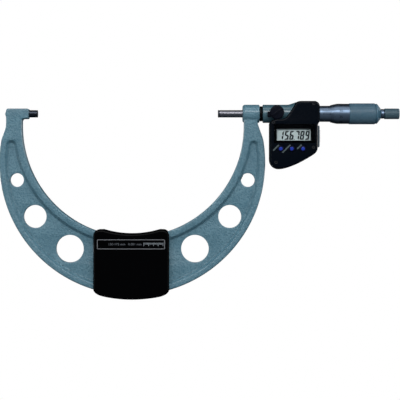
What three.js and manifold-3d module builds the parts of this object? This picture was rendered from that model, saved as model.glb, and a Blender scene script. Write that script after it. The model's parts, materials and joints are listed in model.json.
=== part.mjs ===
// Outside micrometer, 150 to 175 mm, with a display. Millimetres.
// +X runs along the measuring axis from the anvil to the ratchet, +Z is up and the front faces -Y.
// The origin is the centre of the anvil's measuring face.
import * as THREE from 'three';
import { mergeVertices } from 'three/addons/utils/BufferGeometryUtils.js';
import Module from 'manifold-3d';

const wasm = await Module();
wasm.setup();

// ---- driving dimensions ----
const fit = 0.3;              // clearance between neighbouring pieces
const touch = 0.05;           // gap between faces that rest on each other
const reading = 156.789;      // gap between the measuring faces
const spindleR = 3.175;       // spindle is 6.35 in diameter
const tipLength = 1.3;        // carbide tips of anvil and spindle

const frameHalf = 6;          // half thickness of the frame's rims
const webHalf = 2.9;          // half thickness of the frame's web
const rimSlope = 1.4;         // width of the sloped wall between rim and web
const outer = { x: 82.5, z: -42.35, r: 115.25 };   // outer edge of the bow
const inner = { x: 82.95, z: -10.7, r: 96.4 };     // inner edge of the bow
const outerRim = 5.2;         // width of the outer rim's flat
const innerRim = 6.0;         // width of the inner rim's flat
const bowTop = -24;           // where the outer edge leaves its circle
const pocketTop = -27.6;      // centre height of the pockets' round ends
const frameHoles = [          // lightening holes: distance from the middle, height, radius
  { away: 100.3, z: -57.6, r: 6 },
  { away: 84.6, z: -89.3, r: 10 },
  { away: 54.3, z: -117.3, r: 12 },
];
const leftArm = { out: -27, in: inner.x - inner.r, top: 4.3 };
const anvilBoss = { start: -14, end: -7.2, r: 4.35 };
const rightArm = { out: 191.2, in: inner.x + inner.r };
const headBoss = { start: 178.2, end: 192.9, r: 7.9, bore: 5.9 };

const shield = { left: 48.9, right: 114.6, top: -100.4, dip: -104, side: -152, half: 10.3 };
const shieldMargin = 3.6;     // how far the shields stand out past the bow
const shieldScrews = [60, 103.5].map(x => ({ x, z: -128.5 }));
const plateSize = { left: 52.1, right: 111.1, top: -108.9, bottom: -117.7 };

const collar = { start: 193.2, end: 195.4, r: 6.55 };
const head = {
  start: 186, shoulder: 195.7, r: 7.9, riseStart: 216.8, riseEnd: 227, barrelR: 10.4, end: 243.9,
};
const headBore = 3.5;
const encoderBay = { start: 224.5, r: 9.3 };
const spigotR = 5.6;

const cover = { front: -14, wall: 1.8, face: 2.2, parting: 0.15, back: 11, left: 201.6, right: 242.6 };
const coverTop = 10.35;
const coverBottom = -48.05;
const chassis = { front: -2.2, back: -0.6 };
const windowSize = { left: 205, right: 240.3, top: -9.8, bottom: -25.7 };
const viewSize = { left: 207.3, right: 236.5, top: -13.8, bottom: -23.8 };
const coverScrews = [         // name, place, and how deep the shank goes
  { name: 'cover_screw_upper_left', x: 204.4, z: -8.2, end: -1 },
  { name: 'cover_screw_lower_left', x: 206.6, z: -42.7, end: -1 },
  { name: 'cover_screw_lower_right', x: 238.9, z: -29.6, end: -1 },
  { name: 'cover_screw_upper_right', x: 239.2, z: 8, end: -5.6 },
];
const buttons = [
  { name: 'hold_button', x: 210.7 },
  { name: 'zero_button', x: 220.1 },
  { name: 'origin_button', x: 229.8 },
];
const buttonZ = -30.9;
const buttonR = 2.7;
const lock = { x: 207.5, z: 0.6, r: 6.1, front: -14.3, back: -8.7, shaftR: 2.2, shoeR: 1.9 };
const cell = { x: 222, z: -26, r: 5.8, front: 1.2, back: 6.6 };
const cap = { r: 7, lugR: 8.2, front: 7.6, back: 11.2, unlock: 60 };
const port = { left: 242.9, right: 244.8, front: -10.5, back: -2.5, top: -10.7, bottom: -29.3 };

const sleeveR = 6.95;
const sleeveEnd = 278;
const thimble = {
  start: 254.5, taperEnd: 260.2, gripStart: 270.7, wall: 291.3, end: 293.3, r: 8.72, bore: 7.2,
};
const gripR = 9.1;
const knob = { start: 301.5, end: 314.4, r: 4.65 };

// ---- finishes ----
const finish = {
  framePaint: { color: 0x587888, roughness: 0.45, metalness: 0.1 },
  bodyPaint: { color: 0x48636e, roughness: 0.4, metalness: 0.1 },
  gripPaint: { color: 0x47687b, roughness: 0.5, metalness: 0.1 },
  blackPlastic: { color: 0x0a111a, roughness: 0.3, metalness: 0 },
  rubber: { color: 0x15171a, roughness: 0.8, metalness: 0 },
  steel: { color: 0xa6acb4, roughness: 0.3, metalness: 0.9 },
  chrome: { color: 0x9aa6b4, roughness: 0.25, metalness: 0.9 },
  carbide: { color: 0x5d6167, roughness: 0.35, metalness: 0.7 },
  brass: { color: 0xb08d4a, roughness: 0.35, metalness: 0.9 },
  glass: { color: 0x1a2126, roughness: 0.1, metalness: 0 },
  display: { color: 0x96b4bb, roughness: 0.4, metalness: 0 },
  blueButton: { color: 0x233796, roughness: 0.4, metalness: 0 },
  greyPlastic: { color: 0x5b6672, roughness: 0.5, metalness: 0 },
  board: { color: 0x1f5a38, roughness: 0.6, metalness: 0 },
};

// ---- shape helpers ----
const object = new THREE.Group();
const radians = THREE.MathUtils.degToRad;
const point = (x, z) => new THREE.Vector2(x, z);

// A closed geometry as a solid: shared vertices merged and collapsed triangles dropped.
function solid(geometry) {
  geometry.deleteAttribute('normal');
  geometry.deleteAttribute('uv');
  const merged = mergeVertices(geometry, 1e-4);
  const index = merged.index.array;
  const corners = [];
  for (let i = 0; i < index.length; i += 3) {
    const [a, b, c] = index.subarray(i, i + 3);
    if (a !== b && b !== c && c !== a) corners.push(a, b, c);
  }
  const vertProperties = merged.attributes.position.array;
  const triVerts = Uint32Array.from(corners);
  return new wasm.Manifold(new wasm.Mesh({ numProp: 3, vertProperties, triVerts }));
}

// A solid turned about the X axis from [x, radius] points that run outside first, then back inside.
function turned(profile, segments = 24) {
  const closed = profile[0][1] > 0 || profile.at(-1)[1] > 0;
  const points = profile.map(([x, r]) => point(r, x));
  if (closed) points.push(points[0].clone());
  return solid(new THREE.LatheGeometry(points, segments).rotateZ(-Math.PI / 2));
}

// The same about a line along +Y through x, z, from [y, radius] points.
function turnedY(x, z, profile, segments = 20) {
  const closed = profile[0][1] > 0 || profile.at(-1)[1] > 0;
  const points = profile.map(([y, r]) => point(r, y));
  if (closed) points.push(points[0].clone());
  return solid(new THREE.LatheGeometry(points, segments).translate(x, 0, z));
}

// An outline of x, z points made a plate between two y values, with optional chamfers and inset.
function plate(outline, front, back, { edge = 0, inset = 0 } = {}) {
  const geometry = new THREE.ExtrudeGeometry(new THREE.Shape(outline), {
    depth: back - front - 2 * edge,
    bevelEnabled: edge > 0 || inset !== 0,
    bevelThickness: edge,
    bevelSize: edge,
    bevelOffset: -edge - inset,
    bevelSegments: 1,
  });
  return solid(geometry.rotateX(Math.PI / 2).translate(0, back - edge, 0));
}

function block(x0, x1, y0, y1, z0, z1) {
  const geometry = new THREE.BoxGeometry(x1 - x0, y1 - y0, z1 - z0);
  return solid(geometry.translate((x0 + x1) / 2, (y0 + y1) / 2, (z0 + z1) / 2));
}

const peg = (x, z, r, front, back, segments = 12) =>
  turnedY(x, z, [[front, 0], [front, r], [back, r], [back, 0]], segments);

const tube = (start, end, r, bore, segments = 24) =>
  turned([[start, r], [end, r], [end, bore], [start, bore]], segments);

// Points on a circle, angles in degrees, counter-clockwise seen from the front.
function arc({ x, z, r }, from, to, steps) {
  return Array.from({ length: steps + 1 }, (_, i) => {
    const angle = radians(from + (to - from) * i / steps);
    return point(x + r * Math.cos(angle), z + r * Math.sin(angle));
  });
}

const bend = (steps, ...corners) => (corners.length === 3
  ? new THREE.QuadraticBezierCurve(...corners)
  : new THREE.CubicBezierCurve(...corners)).getPoints(steps);

const growth = (circle, by) => ({ ...circle, r: circle.r + by });

// Angle, in degrees, between the horizontal and a point of a circle at height z.
const lift = (circle, z) => THREE.MathUtils.radToDeg(Math.asin((z - circle.z) / circle.r));

function add(name, look, shape) {
  const mesh = shape.getMesh();
  const geometry = new THREE.BufferGeometry();
  geometry.setAttribute('position', new THREE.BufferAttribute(mesh.vertProperties, 3));
  geometry.setIndex(new THREE.BufferAttribute(mesh.triVerts, 1));
  const piece = new THREE.Mesh(geometry, new THREE.MeshStandardMaterial(finish[look]));
  piece.name = name;
  object.add(piece);
}

// ---- frame and anvil ----
function bowOutline() {
  const rise = lift(outer, bowTop);
  const bow = arc(outer, 180 - rise, 360 + rise, 36);
  const neck = point(leftArm.out, -8);
  const shoulder = point(rightArm.out, -8);
  return [
    point(anvilBoss.end - fit, leftArm.top),
    point(-25.8, leftArm.top),
    point(-26.7, 3.4),
    point(-27.9, -0.6),
    point(leftArm.out, -3.2),
    ...bend(4, neck, point(leftArm.out, -14), point(-30, -18.5), bow[0]),
    ...bow.slice(1),
    ...bend(4, bow.at(-1), point(195.2, -18.5), point(192.4, -13.5), shoulder).slice(1),
    point(rightArm.out, -2),
    point(rightArm.in, -2),
    ...arc(inner, 0, -180, 32),
    ...bend(4, point(leftArm.in, -7.2), point(leftArm.in, -4.4), point(-11.4, -4.4)),
    point(anvilBoss.end - fit, -4.4),
  ];
}

// The recessed field between the rims, on its floor.
function pocketOutline() {
  const outside = growth(outer, -outerRim - rimSlope);
  const inside = growth(inner, innerRim + rimSlope);
  const low = lift(outside, pocketTop);
  const high = lift(inside, pocketTop);
  const bow = arc(outside, 180 - low, 360 + low, 30);
  const back = arc(inside, high, -180 - high, 30);
  const roundEnd = (a, b, from, to) => {
    const middle = (a.x + b.x) / 2;
    return arc({ x: middle, z: pocketTop, r: Math.abs(a.x - b.x) / 2 }, from, to, 6).slice(1, -1);
  };
  const rightEnd = roundEnd(bow.at(-1), back[0], 0, 180);
  return [...bow, ...rightEnd, ...back, ...roundEnd(back.at(-1), bow[0], 0, 180)];
}

// Cuts a pocket whose walls lean outwards from the web at depth near to past the face at far.
function pocketCutter(near, far) {
  const [front, back] = near < far ? [near, far] : [far, near];
  const slope = frameHalf - webHalf;
  const geometry = new THREE.ExtrudeGeometry(new THREE.Shape(pocketOutline()), {
    depth: 2, bevelThickness: slope, bevelSize: rimSlope, bevelOffset: 0, bevelSegments: 1,
  });
  const tool = solid(geometry.rotateX(Math.PI / 2));
  return tool.translate(0, near < far ? near + 2 + slope : near - slope, 0)
    .intersect(block(-60, 230, front, back, -180, 20));
}

function frame() {
  let shape = plate(bowOutline(), -frameHalf, frameHalf)
    .subtract(pocketCutter(-webHalf, -frameHalf - 1))
    .subtract(pocketCutter(webHalf, frameHalf + 1))
    .add(turned([[anvilBoss.start, 0], [anvilBoss.start, anvilBoss.r], [anvilBoss.end - 0.6, anvilBoss.r],
      [anvilBoss.end, anvilBoss.r - 0.6], [anvilBoss.end, 0]]))
    .add(turned([[headBoss.start, 0], [headBoss.start, 5.4 + fit + 0.6], [headBoss.start + 0.7, 7.2],
      [headBoss.start + 2, headBoss.r], [headBoss.end - 0.5, headBoss.r],
      [headBoss.end, headBoss.r - 0.5], [headBoss.end, 0]], 32))
    .subtract(turned([[-22, 0], [-22, spindleR + fit], [0, spindleR + fit], [0, 0]], 20))
    .subtract(turned([[headBoss.start - 1, 0], [headBoss.start - 1, headBoss.bore],
      [headBoss.end + 1, headBoss.bore], [headBoss.end + 1, 0]], 24));
  for (const { away, z, r } of frameHoles) {
    for (const x of [outer.x - away, outer.x + away]) shape = shape.subtract(peg(x, z, r, -7, 7, 20));
  }
  for (const { x, z } of shieldScrews) shape = shape.subtract(peg(x, z, 1.9, -7, 7));
  add('frame', 'framePaint', shape);
}

function anvil() {
  add('anvil', 'steel', turned([[-21.6, 0], [-21.6, spindleR], [-tipLength - touch, spindleR],
    [-tipLength - touch, 0]]));
  add('anvil_tip', 'carbide', turned([[-tipLength, 0], [-tipLength, spindleR], [-0.15, spindleR],
    [0, spindleR - 0.15], [0, 0]]));
}

// ---- heat shields ----
function shieldOutline() {
  const { left, right, top, dip, side } = shield;
  const corner = 5.5;
  const middle = (left + right) / 2;
  const belly = growth(outer, shieldMargin);
  const foot = left + 9.5 - belly.x;
  const swing = THREE.MathUtils.radToDeg(Math.asin(-foot / belly.r));
  const bottom = arc(belly, 270 - swing, 270 + swing, 8);
  return [
    ...arc({ x: left + corner, z: top - corner, r: corner }, 180, 100, 4),
    ...bend(6, point(left + corner + 3, top), point(middle, 2 * dip - top), point(right - corner - 3, top)),
    ...arc({ x: right - corner, z: top - corner, r: corner }, 80, 0, 4),
    ...bend(4, point(right, side), point(right, side - 4.6), bottom.at(-1)),
    ...bottom.reverse().slice(1, -1),
    ...bend(4, bottom.at(-1), point(left, side - 4.6), point(left, side)),
  ];
}

// The space the frame takes inside the shields, with clearance.
function frameRoom() {
  const disc = (circle, half) => peg(circle.x, circle.z, circle.r, -half, half, 96);
  const ring = (low, high, half) => disc(high, half).subtract(disc(low, half + 1));
  const bowIn = growth(inner, -fit);
  const bowOut = growth(outer, fit);
  const web = ring(bowIn, bowOut, webHalf + fit);
  const rims = ring(bowIn, growth(inner, innerRim + rimSlope + fit), frameHalf + fit)
    .add(ring(growth(outer, -outerRim - rimSlope - fit), bowOut, frameHalf + fit));
  return web.add(rims);
}

function shieldHalf(side) {
  const order = (a, b) => (side < 0 ? [-b, -a] : [a, b]);
  const whole = plate(shieldOutline(), -shield.half, shield.half, { edge: 1.6 });
  const hollow = block(53, 110.5, ...order(webHalf, 8), -146, -115);
  let shape = whole.subtract(block(40, 125, ...order(-11, 0.15), -170, -90))
    .subtract(frameRoom())
    .subtract(hollow);
  for (const { x, z } of shieldScrews) {
    shape = shape.add(peg(x, z, 3.4, ...order(webHalf + fit, 8.5)));
    shape = shape.subtract(peg(x, z, 1.6, ...order(0, side < 0 ? 8.4 : 12)));
    if (side > 0) shape = shape.subtract(peg(x, z, 3.1, 8.1, 12));
  }
  return shape;
}

function heatShields() {
  const { left, right, top, bottom } = plateSize;
  const recess = block(left - fit, right + fit, -11, -9.8, bottom - fit, top + fit);
  add('heat_shield_front', 'blackPlastic', shieldHalf(-1).subtract(recess));
  add('heat_shield_rear', 'blackPlastic', shieldHalf(1));
  add('nameplate', 'blackPlastic', block(left, right, -10.25, -9.8 - touch, bottom, top));
  shieldScrews.forEach(({ x, z }, i) => {
    const screw = turnedY(x, z, [[-7.8, 0], [-7.8, 1.25], [8.4, 1.25], [8.4, 2.8], [9.9, 2.8], [9.9, 0]], 12);
    add(`shield_screw_${i ? 'right' : 'left'}`, 'steel', screw.subtract(peg(x, z, 1.3, 9, 11, 6)));
  });
}

// ---- head ----
// The head's outside, grown by a clearance: neck, S-shaped rise and encoder barrel.
function headProfile(grow) {
  const r = head.r + grow;
  const top = head.barrelR + grow;
  const rise = bend(5, point(head.riseStart, r), point(head.riseStart + 3, r),
    point(head.riseEnd - 3, top), point(head.riseEnd, top));
  return rise.map(p => [p.x, p.y]);
}

// The flat plate that carries the display unit, inside its covers.
function chassisOutline() {
  const { left, right, wall } = cover;
  const margin = wall + 0.5;
  return [
    point(left + margin, -2),
    point(left + margin, -39.5),
    point(left + 4.2, -43.6),
    point(209.6, coverBottom + margin),
    point(214, coverBottom + margin + 0.6),
    point(236, -34.6),
    point(right - margin, -29.5),
    point(right - margin, -2),
  ];
}

function headBody() {
  const outside = turned([[head.start, 0], [head.start, spigotR], [head.shoulder, spigotR],
    [head.shoulder, 7.2], [head.shoulder + 0.7, head.r], ...headProfile(0),
    [head.end - 0.8, head.barrelR], [head.end, head.barrelR - 0.8], [head.end, 0]], 32);
  const bore = turned([[180, 0], [180, headBore], [encoderBay.start, headBore],
    [encoderBay.start, encoderBay.r], [250, encoderBay.r], [250, 0]], 28);
  let shape = outside
    .add(peg(lock.x, lock.z, 5.2, lock.back + 0.4, 0, 20))
    .add(plate(chassisOutline(), chassis.front, chassis.back))
    .subtract(bore)
    .subtract(peg(lock.x, lock.z, lock.shaftR + fit, -10, 0, 16));
  for (const { x, z, end } of coverScrews) {
    shape = shape.subtract(peg(x, z, 1.1, -12, end < -4 ? end + 0.4 : 0, 12));
  }
  add('head_body', 'bodyPaint', shape);
}

function headRings() {
  add('head_collar', 'rubber', tube(collar.start, collar.end, collar.r, spigotR + fit));
  add('spindle_bush', 'brass', tube(179.4, 185.6, spigotR, headBore));
  add('spindle_wiper', 'rubber', tube(178.4, 179.2, spigotR, headBore - 0.05));
}

function encoder() {
  add('encoder_stator', 'board', tube(226, 227.4, 9, 4.2));
  add('encoder_rotor', 'board', tube(228.4, 229.4, 8.6, 5.9));
  const bush = tube(228.2, 235.5, 5.6, headBore);
  const key = block(231, 234, -4.2, -2.3, -0.7, 0.7);
  add('rotor_bush', 'brass', bush.add(key));
}

// ---- display unit ----
function coverOutline() {
  const { left, right } = cover;
  const belly = point(left + 8.3, coverBottom);
  return [
    ...arc({ x: left + 8.3, z: coverBottom + 8.3, r: 8.3 }, 270, 180, 6),
    ...bend(3, point(left, -9.4), point(left, -6.6), point(203.6, -6.2)),
    point(206.5, -4.4),
    ...bend(7, point(212.7, -4.9), point(218, -3.2), point(221.1, 5.6), point(223.9, 8.9)),
    ...bend(3, point(223.9, 8.9), point(225.5, coverTop), point(228.5, coverTop)).slice(1),
    point(240.8, coverTop),
    point(243.2, 9),
    point(244.5, 6.6),
    point(244.5, -7.2),
    point(right, -9.8),
    ...bend(3, point(right, -29.8), point(right, -33.2), point(239.5, -35.5)),
    ...bend(6, point(239.5, -35.5), point(231, -41.2), point(218.5, coverBottom), belly).slice(1, -1),
  ];
}

const headRoom = () => turned([[180, 0], [180, head.r + fit], ...headProfile(fit),
  [250, head.barrelR + fit], [250, 0]], 32);

function displayCover() {
  const { front, face, parting, wall } = cover;
  const w = windowSize;
  const v = viewSize;
  let shape = plate(coverOutline(), front, 10)
    .subtract(block(190, 260, -parting, 20, -60, 20))
    .subtract(plate(coverOutline(), front + face, 10, { inset: wall }));
  for (const { x, z } of coverScrews) {
    shape = shape.add(peg(x, z, 2.2, front + face - 1, chassis.front - fit));
  }
  shape = shape.subtract(headRoom())
    .subtract(block(190, 260, -4.5, 20, -4, 20))
    .subtract(peg(lock.x, lock.z, lock.r + fit, -20, 0, 24))
    .subtract(block(w.left - fit, w.right + fit, front - 1, -12.6, w.bottom - fit, w.top + fit))
    .subtract(block(v.left, v.right, front - 1, 0, v.bottom, v.top))
    .subtract(block(240, 250, -9.3, -3.7, -25.3, -14.7));
  for (const { x } of buttons) shape = shape.subtract(peg(x, buttonZ, buttonR + fit, -20, -10, 16));
  for (const { x, z } of coverScrews) {
    shape = shape.subtract(peg(x, z, 1.1, -20, 0, 12)).subtract(peg(x, z, 1.8, -20, front + 1));
  }
  for (const z of [port.top - 2.3, port.bottom + 2.3]) {
    shape = shape.subtract(turned([[240, 0], [240, 1], [250, 1], [250, 0]], 12).translate(0, -6.5, z));
  }
  add('display_cover', 'blackPlastic', shape);
}

function rearCover() {
  const { back, wall, parting } = cover;
  const lugs = r => block(cell.x - r, cell.x + r, cap.front, 12, cell.z - 1.6, cell.z + 1.6);
  const turnLugs = shape => shape.translate(-cell.x, 0, -cell.z).rotate(0, cap.unlock, 0)
    .translate(cell.x, 0, cell.z);
  const shape = plate(coverOutline(), -10, back)
    .subtract(block(190, 260, -20, parting, -60, 20))
    .subtract(plate(coverOutline(), -12, back - 2, { inset: wall }))
    .add(peg(cell.x, cell.z, 9.9, 0.8, back - 1.5, 24))
    .subtract(block(190, 260, -20, 20, -5.5, 20))
    .subtract(headRoom())
    .subtract(peg(cell.x, cell.z, 6.1, 0, 12, 24))
    .subtract(peg(cell.x, cell.z, 8.6, 6.1, back - 2, 24))
    .subtract(peg(cell.x, cell.z, cap.r + fit, 6.1, 12, 24))
    .subtract(turnLugs(lugs(cap.lugR + 0.2)));
  add('rear_cover', 'blackPlastic', shape);
}

function battery() {
  const { x, z } = cell;
  add('battery', 'steel', peg(x, z, cell.r, cell.front, cell.back, 24));
  const lugs = block(x - cap.lugR, x + cap.lugR, cap.front, cap.front + 1, z - 1.3, z + 1.3);
  const slot = block(x - 5, x + 5, cap.back - 1, 13, z - 0.7, z + 0.7);
  add('battery_cap', 'blackPlastic', peg(x, z, cap.r, cap.front, cap.back, 24).add(lugs).subtract(slot));
  add('battery_seal', 'rubber', turnedY(x, z, [[6.2, 6.5], [6.2, 8.2], [7.2, 8.2], [7.2, 6.5]]));
  const strip = new THREE.Shape([[214.5, -0.5], [217, -0.5], [219.5, 0.6], [225, 0.6], [225, 0.9],
    [219.4, 0.9], [216.9, -0.2], [214.5, -0.2]].map(([a, b]) => point(a, b)));
  const spring = new THREE.ExtrudeGeometry(strip, { depth: 4, bevelEnabled: false }).translate(0, 0, z - 2);
  add('battery_contact', 'brass', solid(spring));
}

function displayInside() {
  const w = windowSize;
  add('lcd_window', 'glass', block(w.left, w.right, -13.9, -12.65, w.bottom, w.top));
  add('lcd_panel', 'display', block(206.5, 236.9, -11.4, -9.6, -24.9, -11.7));
  add('circuit_board', 'board', block(205, 236.4, -8.2, -7, -34.2, -11));
  for (const { name, x } of buttons) {
    add(name, 'blueButton', turnedY(x, buttonZ, [[-14.9, 0], [-14.9, 1.6], [-14.5, buttonR], [-11.4, buttonR],
      [-11.4, 3.4], [-10.5, 3.4], [-10.5, 1.2], [-9.3, 1.2], [-9.3, 0]], 16));
  }
  for (const { name, x, z, end } of coverScrews) {
    const screw = turnedY(x, z, [[-13.8, 0], [-13.8, 1.5], [-12.9, 0.8], [end, 0.8], [end, 0]], 12);
    add(name, 'steel', screw.subtract(peg(x, z, 0.7, -14, -13.4, 6)));
  }
}

function dataPort() {
  const { left, right, front, back, top, bottom } = port;
  const screwHeights = [top - 2.3, bottom + 2.3];
  const bolt = (start, end, r) =>
    turned([[start, 0], [start, r], [end, r], [end, 0]], 12).translate(0, -6.5, 0);
  let shape = block(left, right, front, back, bottom, top);
  screwHeights.forEach((z, i) => {
    shape = shape.subtract(bolt(240, 250, 1).translate(0, 0, z))
      .subtract(bolt(right - 0.7, 250, 1.6).translate(0, 0, z));
    const screw = bolt(240.2, right - 0.5, 0.7)
      .add(bolt(right - 0.6, right - 0.1, 1.3))
      .subtract(bolt(right - 0.3, right + 1, 0.6));
    add(`port_screw_${i ? 'lower' : 'upper'}`, 'steel', screw.translate(0, 0, z));
  });
  add('port_cap', 'greyPlastic', shape);
  add('data_connector', 'blackPlastic', block(238, 242.4, -9, -4, -25, -15)
    .subtract(block(240.4, 244, -7.8, -5.2, -23.5, -16.5)));
}

// ---- lock ----
function spindleLock() {
  const { x, z, r, front, back, shaftR, shoeR } = lock;
  const disc = turnedY(x, z, [[front, 0], [front, r - 0.8], [front + 0.8, r], [back, r], [back, shaftR],
    [-5.9, shaftR], [-5.9, 0]], 24);
  const nub = block(x - 8.2, x - 5, front + 1.8, back - 0.4, z - 4.2, z + 0.6);
  const ridge = block(-4.6, 4.6, front - 0.7, front + 0.5, -1, 1).rotate(0, -38, 0).translate(x, 0, z);
  add('lock_knob', 'blackPlastic', disc.add(nub).add(ridge));
  add('lock_shoe', 'brass', peg(x, z, shoeR, -5.6, -3.75));
}

// ---- sleeves, thimble and spindle ----
function sleeves() {
  add('inner_sleeve', 'steel', turned([[238.5, 9], [243.6, 9], [243.6, 6.05], [278.3, 6.05], [278.3, 5],
    [283.5, 5], [283.5, 4.45], [243, 4.45], [243, 3.6], [238.5, 3.6]], 28));
  add('adjusting_nut', 'brass', tube(278.8, 282.8, 6.3, 5.3, 24));
  add('graduated_sleeve', 'chrome', tube(head.end, sleeveEnd, sleeveR, 6.35, 32));
}

function thimbleSet() {
  const { start, taperEnd, gripStart, wall, end, r, bore } = thimble;
  add('thimble', 'chrome', turned([[start, bore + 0.25], [taperEnd, r], [gripStart, r], [gripStart, 8],
    [end, 8], [end, headBore], [wall, headBore], [wall, bore], [start, bore]], 32));
  add('thimble_grip', 'gripPaint', turned([[gripStart + touch, gripR - 0.3], [gripStart + 0.4, gripR],
    [end - 0.3, gripR], [end, gripR - 0.3], [end, 8 + fit], [gripStart + touch, 8 + fit]], 32));
  add('thimble_cap', 'gripPaint', turned([[293.6, 8.3], [294, 8.6], [295.1, 8.6], [298.1, 4.8], [298.1, 1.9],
    [296.4, 1.9], [296.4, headBore], [293.6, headBore]], 28));
}

function spindle() {
  const threadR = 4;
  const body = turned([[reading + tipLength + touch, 0], [reading + tipLength + touch, spindleR],
    [262, spindleR], [262.8, threadR], [288, threadR], [288.8, 3.2], [296, 3.2], [296, 0]]);
  const screwHole = turned([[290.4, 0], [290.4, 1.9], [300, 1.9], [300, 0]], 16);
  const keyway = block(211.5, 241.5, -5, -1.9, -1.15, 1.15);
  add('spindle', 'steel', body.subtract(screwHole).subtract(keyway));
  add('spindle_tip', 'carbide', turned([[reading, 0], [reading, spindleR - 0.15], [reading + 0.15, spindleR],
    [reading + tipLength, spindleR], [reading + tipLength, 0]]));
}

// ---- ratchet ----
class Coil extends THREE.Curve {
  constructor(start, end, r, turns) {
    super();
    Object.assign(this, { start, end, r, turns });
  }

  getPoint(t, target = new THREE.Vector3()) {
    const angle = 2 * Math.PI * this.turns * t;
    const x = this.start + (this.end - this.start) * t;
    return target.set(x, this.r * Math.cos(angle), this.r * Math.sin(angle));
  }
}

function ratchet() {
  const { start, end, r } = knob;
  const screw = turned([[291, 0], [291, 1.6], [311.6, 1.6], [311.6, 3], [313.2, 3], [313.2, 0]], 20);
  const socket = turned([[312.2, 0], [312.2, 1.2], [314, 1.2], [314, 0]], 6);
  add('ratchet_screw', 'steel', screw.subtract(socket));
  add('ratchet_neck', 'chrome', tube(298.4, 301.2, 4.15, 1.9));
  add('ratchet_knob', 'gripPaint', turned([[start, r - 0.4], [start + 0.4, r], [end - 0.4, r], [end, r - 0.4],
    [end, 3.7], [start + 1.7, 3.7], [start + 1.7, 1.95], [start, 1.95]]));
  add('ratchet_pawl', 'steel', tube(303.6, 305.4, 3.4, 1.95, 24));
  const wire = new THREE.Shape(arc({ x: 0, z: 0, r: 0.25 }, 0, 270, 3));
  const coil = new Coil(306, 311, 2.6, 3.5);
  const spring = new THREE.ExtrudeGeometry(wire, { steps: 42, extrudePath: coil });
  add('ratchet_spring', 'steel', solid(spring));
}

frame();
anvil();
heatShields();
headBody();
headRings();
encoder();
displayCover();
rearCover();
displayInside();
battery();
dataPort();
spindleLock();
sleeves();
thimbleSet();
spindle();
ratchet();

export default object;
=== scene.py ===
import json
import math

import bmesh
import bpy
from mathutils import Matrix, Vector
from mathutils.geometry import tessellate_polygon


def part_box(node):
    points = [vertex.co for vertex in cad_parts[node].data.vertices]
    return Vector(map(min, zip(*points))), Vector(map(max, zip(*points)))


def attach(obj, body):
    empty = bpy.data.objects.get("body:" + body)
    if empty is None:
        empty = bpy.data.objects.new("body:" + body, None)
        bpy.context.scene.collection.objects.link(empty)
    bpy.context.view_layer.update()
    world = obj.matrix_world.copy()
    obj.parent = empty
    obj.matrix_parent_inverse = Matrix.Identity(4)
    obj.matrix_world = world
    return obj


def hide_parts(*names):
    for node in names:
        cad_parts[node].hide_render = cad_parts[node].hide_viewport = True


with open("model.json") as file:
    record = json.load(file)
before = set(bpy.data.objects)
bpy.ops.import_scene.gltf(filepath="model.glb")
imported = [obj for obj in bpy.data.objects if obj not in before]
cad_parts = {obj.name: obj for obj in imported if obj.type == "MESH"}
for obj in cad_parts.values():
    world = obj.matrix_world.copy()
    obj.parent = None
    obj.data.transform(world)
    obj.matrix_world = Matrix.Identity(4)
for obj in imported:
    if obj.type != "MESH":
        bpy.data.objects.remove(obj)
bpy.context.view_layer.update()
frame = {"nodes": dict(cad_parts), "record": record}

mm = 0.001                      # all sizes below are in millimetres
nodeBody = {node: body for body, nodes in frame["record"]["behaviour"]["bodies"].items() for node in nodes}


def span(node):   # a node's reach along x, y and z
    low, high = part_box(node)
    return [(a / mm, b / mm) for a, b in zip(low, high)]


def middleOf(pair):
    return (pair[0] + pair[1]) / 2


def linear(rgb):   # screen colour, 0 to 255, to the renderer's own
    return (*[(c / 255 / 12.92 if c < 11 else ((c / 255 + 0.055) / 1.055) ** 2.4) for c in rgb], 1.0)


# node trees

def put(tree, kind, inputs=None, **settings):   # one node, its settings, and its inputs by value or by link
    node = tree.nodes.new(kind)
    for key, value in settings.items():
        setattr(node, key, value)
    for key, value in (inputs or {}).items():
        if isinstance(value, bpy.types.NodeSocket):
            tree.links.new(value, node.inputs[key])
        else:
            node.inputs[key].default_value = value
    return node


def sums(tree, operation, *values, clamp=False):
    node = put(tree, "ShaderNodeMath", dict(enumerate(values)), operation=operation, use_clamp=clamp)
    return node.outputs[0]


def vector(tree, **parts):
    return put(tree, "ShaderNodeCombineXYZ", parts).outputs[0]


def split(tree, value):
    return put(tree, "ShaderNodeSeparateXYZ", {0: value}).outputs


def remap(tree, value, low, high, toLow=0.0, toHigh=1.0, how="LINEAR"):
    node = put(tree, "ShaderNodeMapRange", {"Value": value, "From Min": low, "From Max": high,
                                            "To Min": toLow, "To Max": toHigh}, interpolation_type=how)
    return node.outputs[0]


def noise(tree, where, size, detail):
    return put(tree, "ShaderNodeTexNoise", {"Vector": where, "Scale": size, "Detail": detail}).outputs


def bumped(tree, height, strength, distance):
    node = put(tree, "ShaderNodeBump", {"Height": height, "Strength": strength, "Distance": distance})
    return node.outputs[0]


def blendColours(tree, factor, first, second):
    return put(tree, "ShaderNodeMix", {0: factor, 6: first, 7: second}, data_type="RGBA").outputs[2]


def startTree(name, kind, inputs, outputs):
    tree = bpy.data.node_groups.new(name, kind)
    for label, (socketType, value) in inputs.items():
        socket = tree.interface.new_socket(label, in_out="INPUT", socket_type="NodeSocket" + socketType)
        if value is not None:
            socket.default_value = value
    for label, socketType in outputs.items():
        tree.interface.new_socket(label, in_out="OUTPUT", socket_type="NodeSocket" + socketType)
    return tree, put(tree, "NodeGroupInput").outputs


def endTree(tree, results):
    put(tree, "NodeGroupOutput", results)
    return tree


# shared surface effects

def surfaceGroup(name, inputs, outputs):   # a group of shader nodes, its inputs and the point it colours
    numbers = {label: ("Float", value) for label, value in inputs.items()}
    tree, given = startTree(name, "ShaderNodeTree", numbers, outputs)
    return tree, given, put(tree, "ShaderNodeTexCoord").outputs["Object"]


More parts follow.
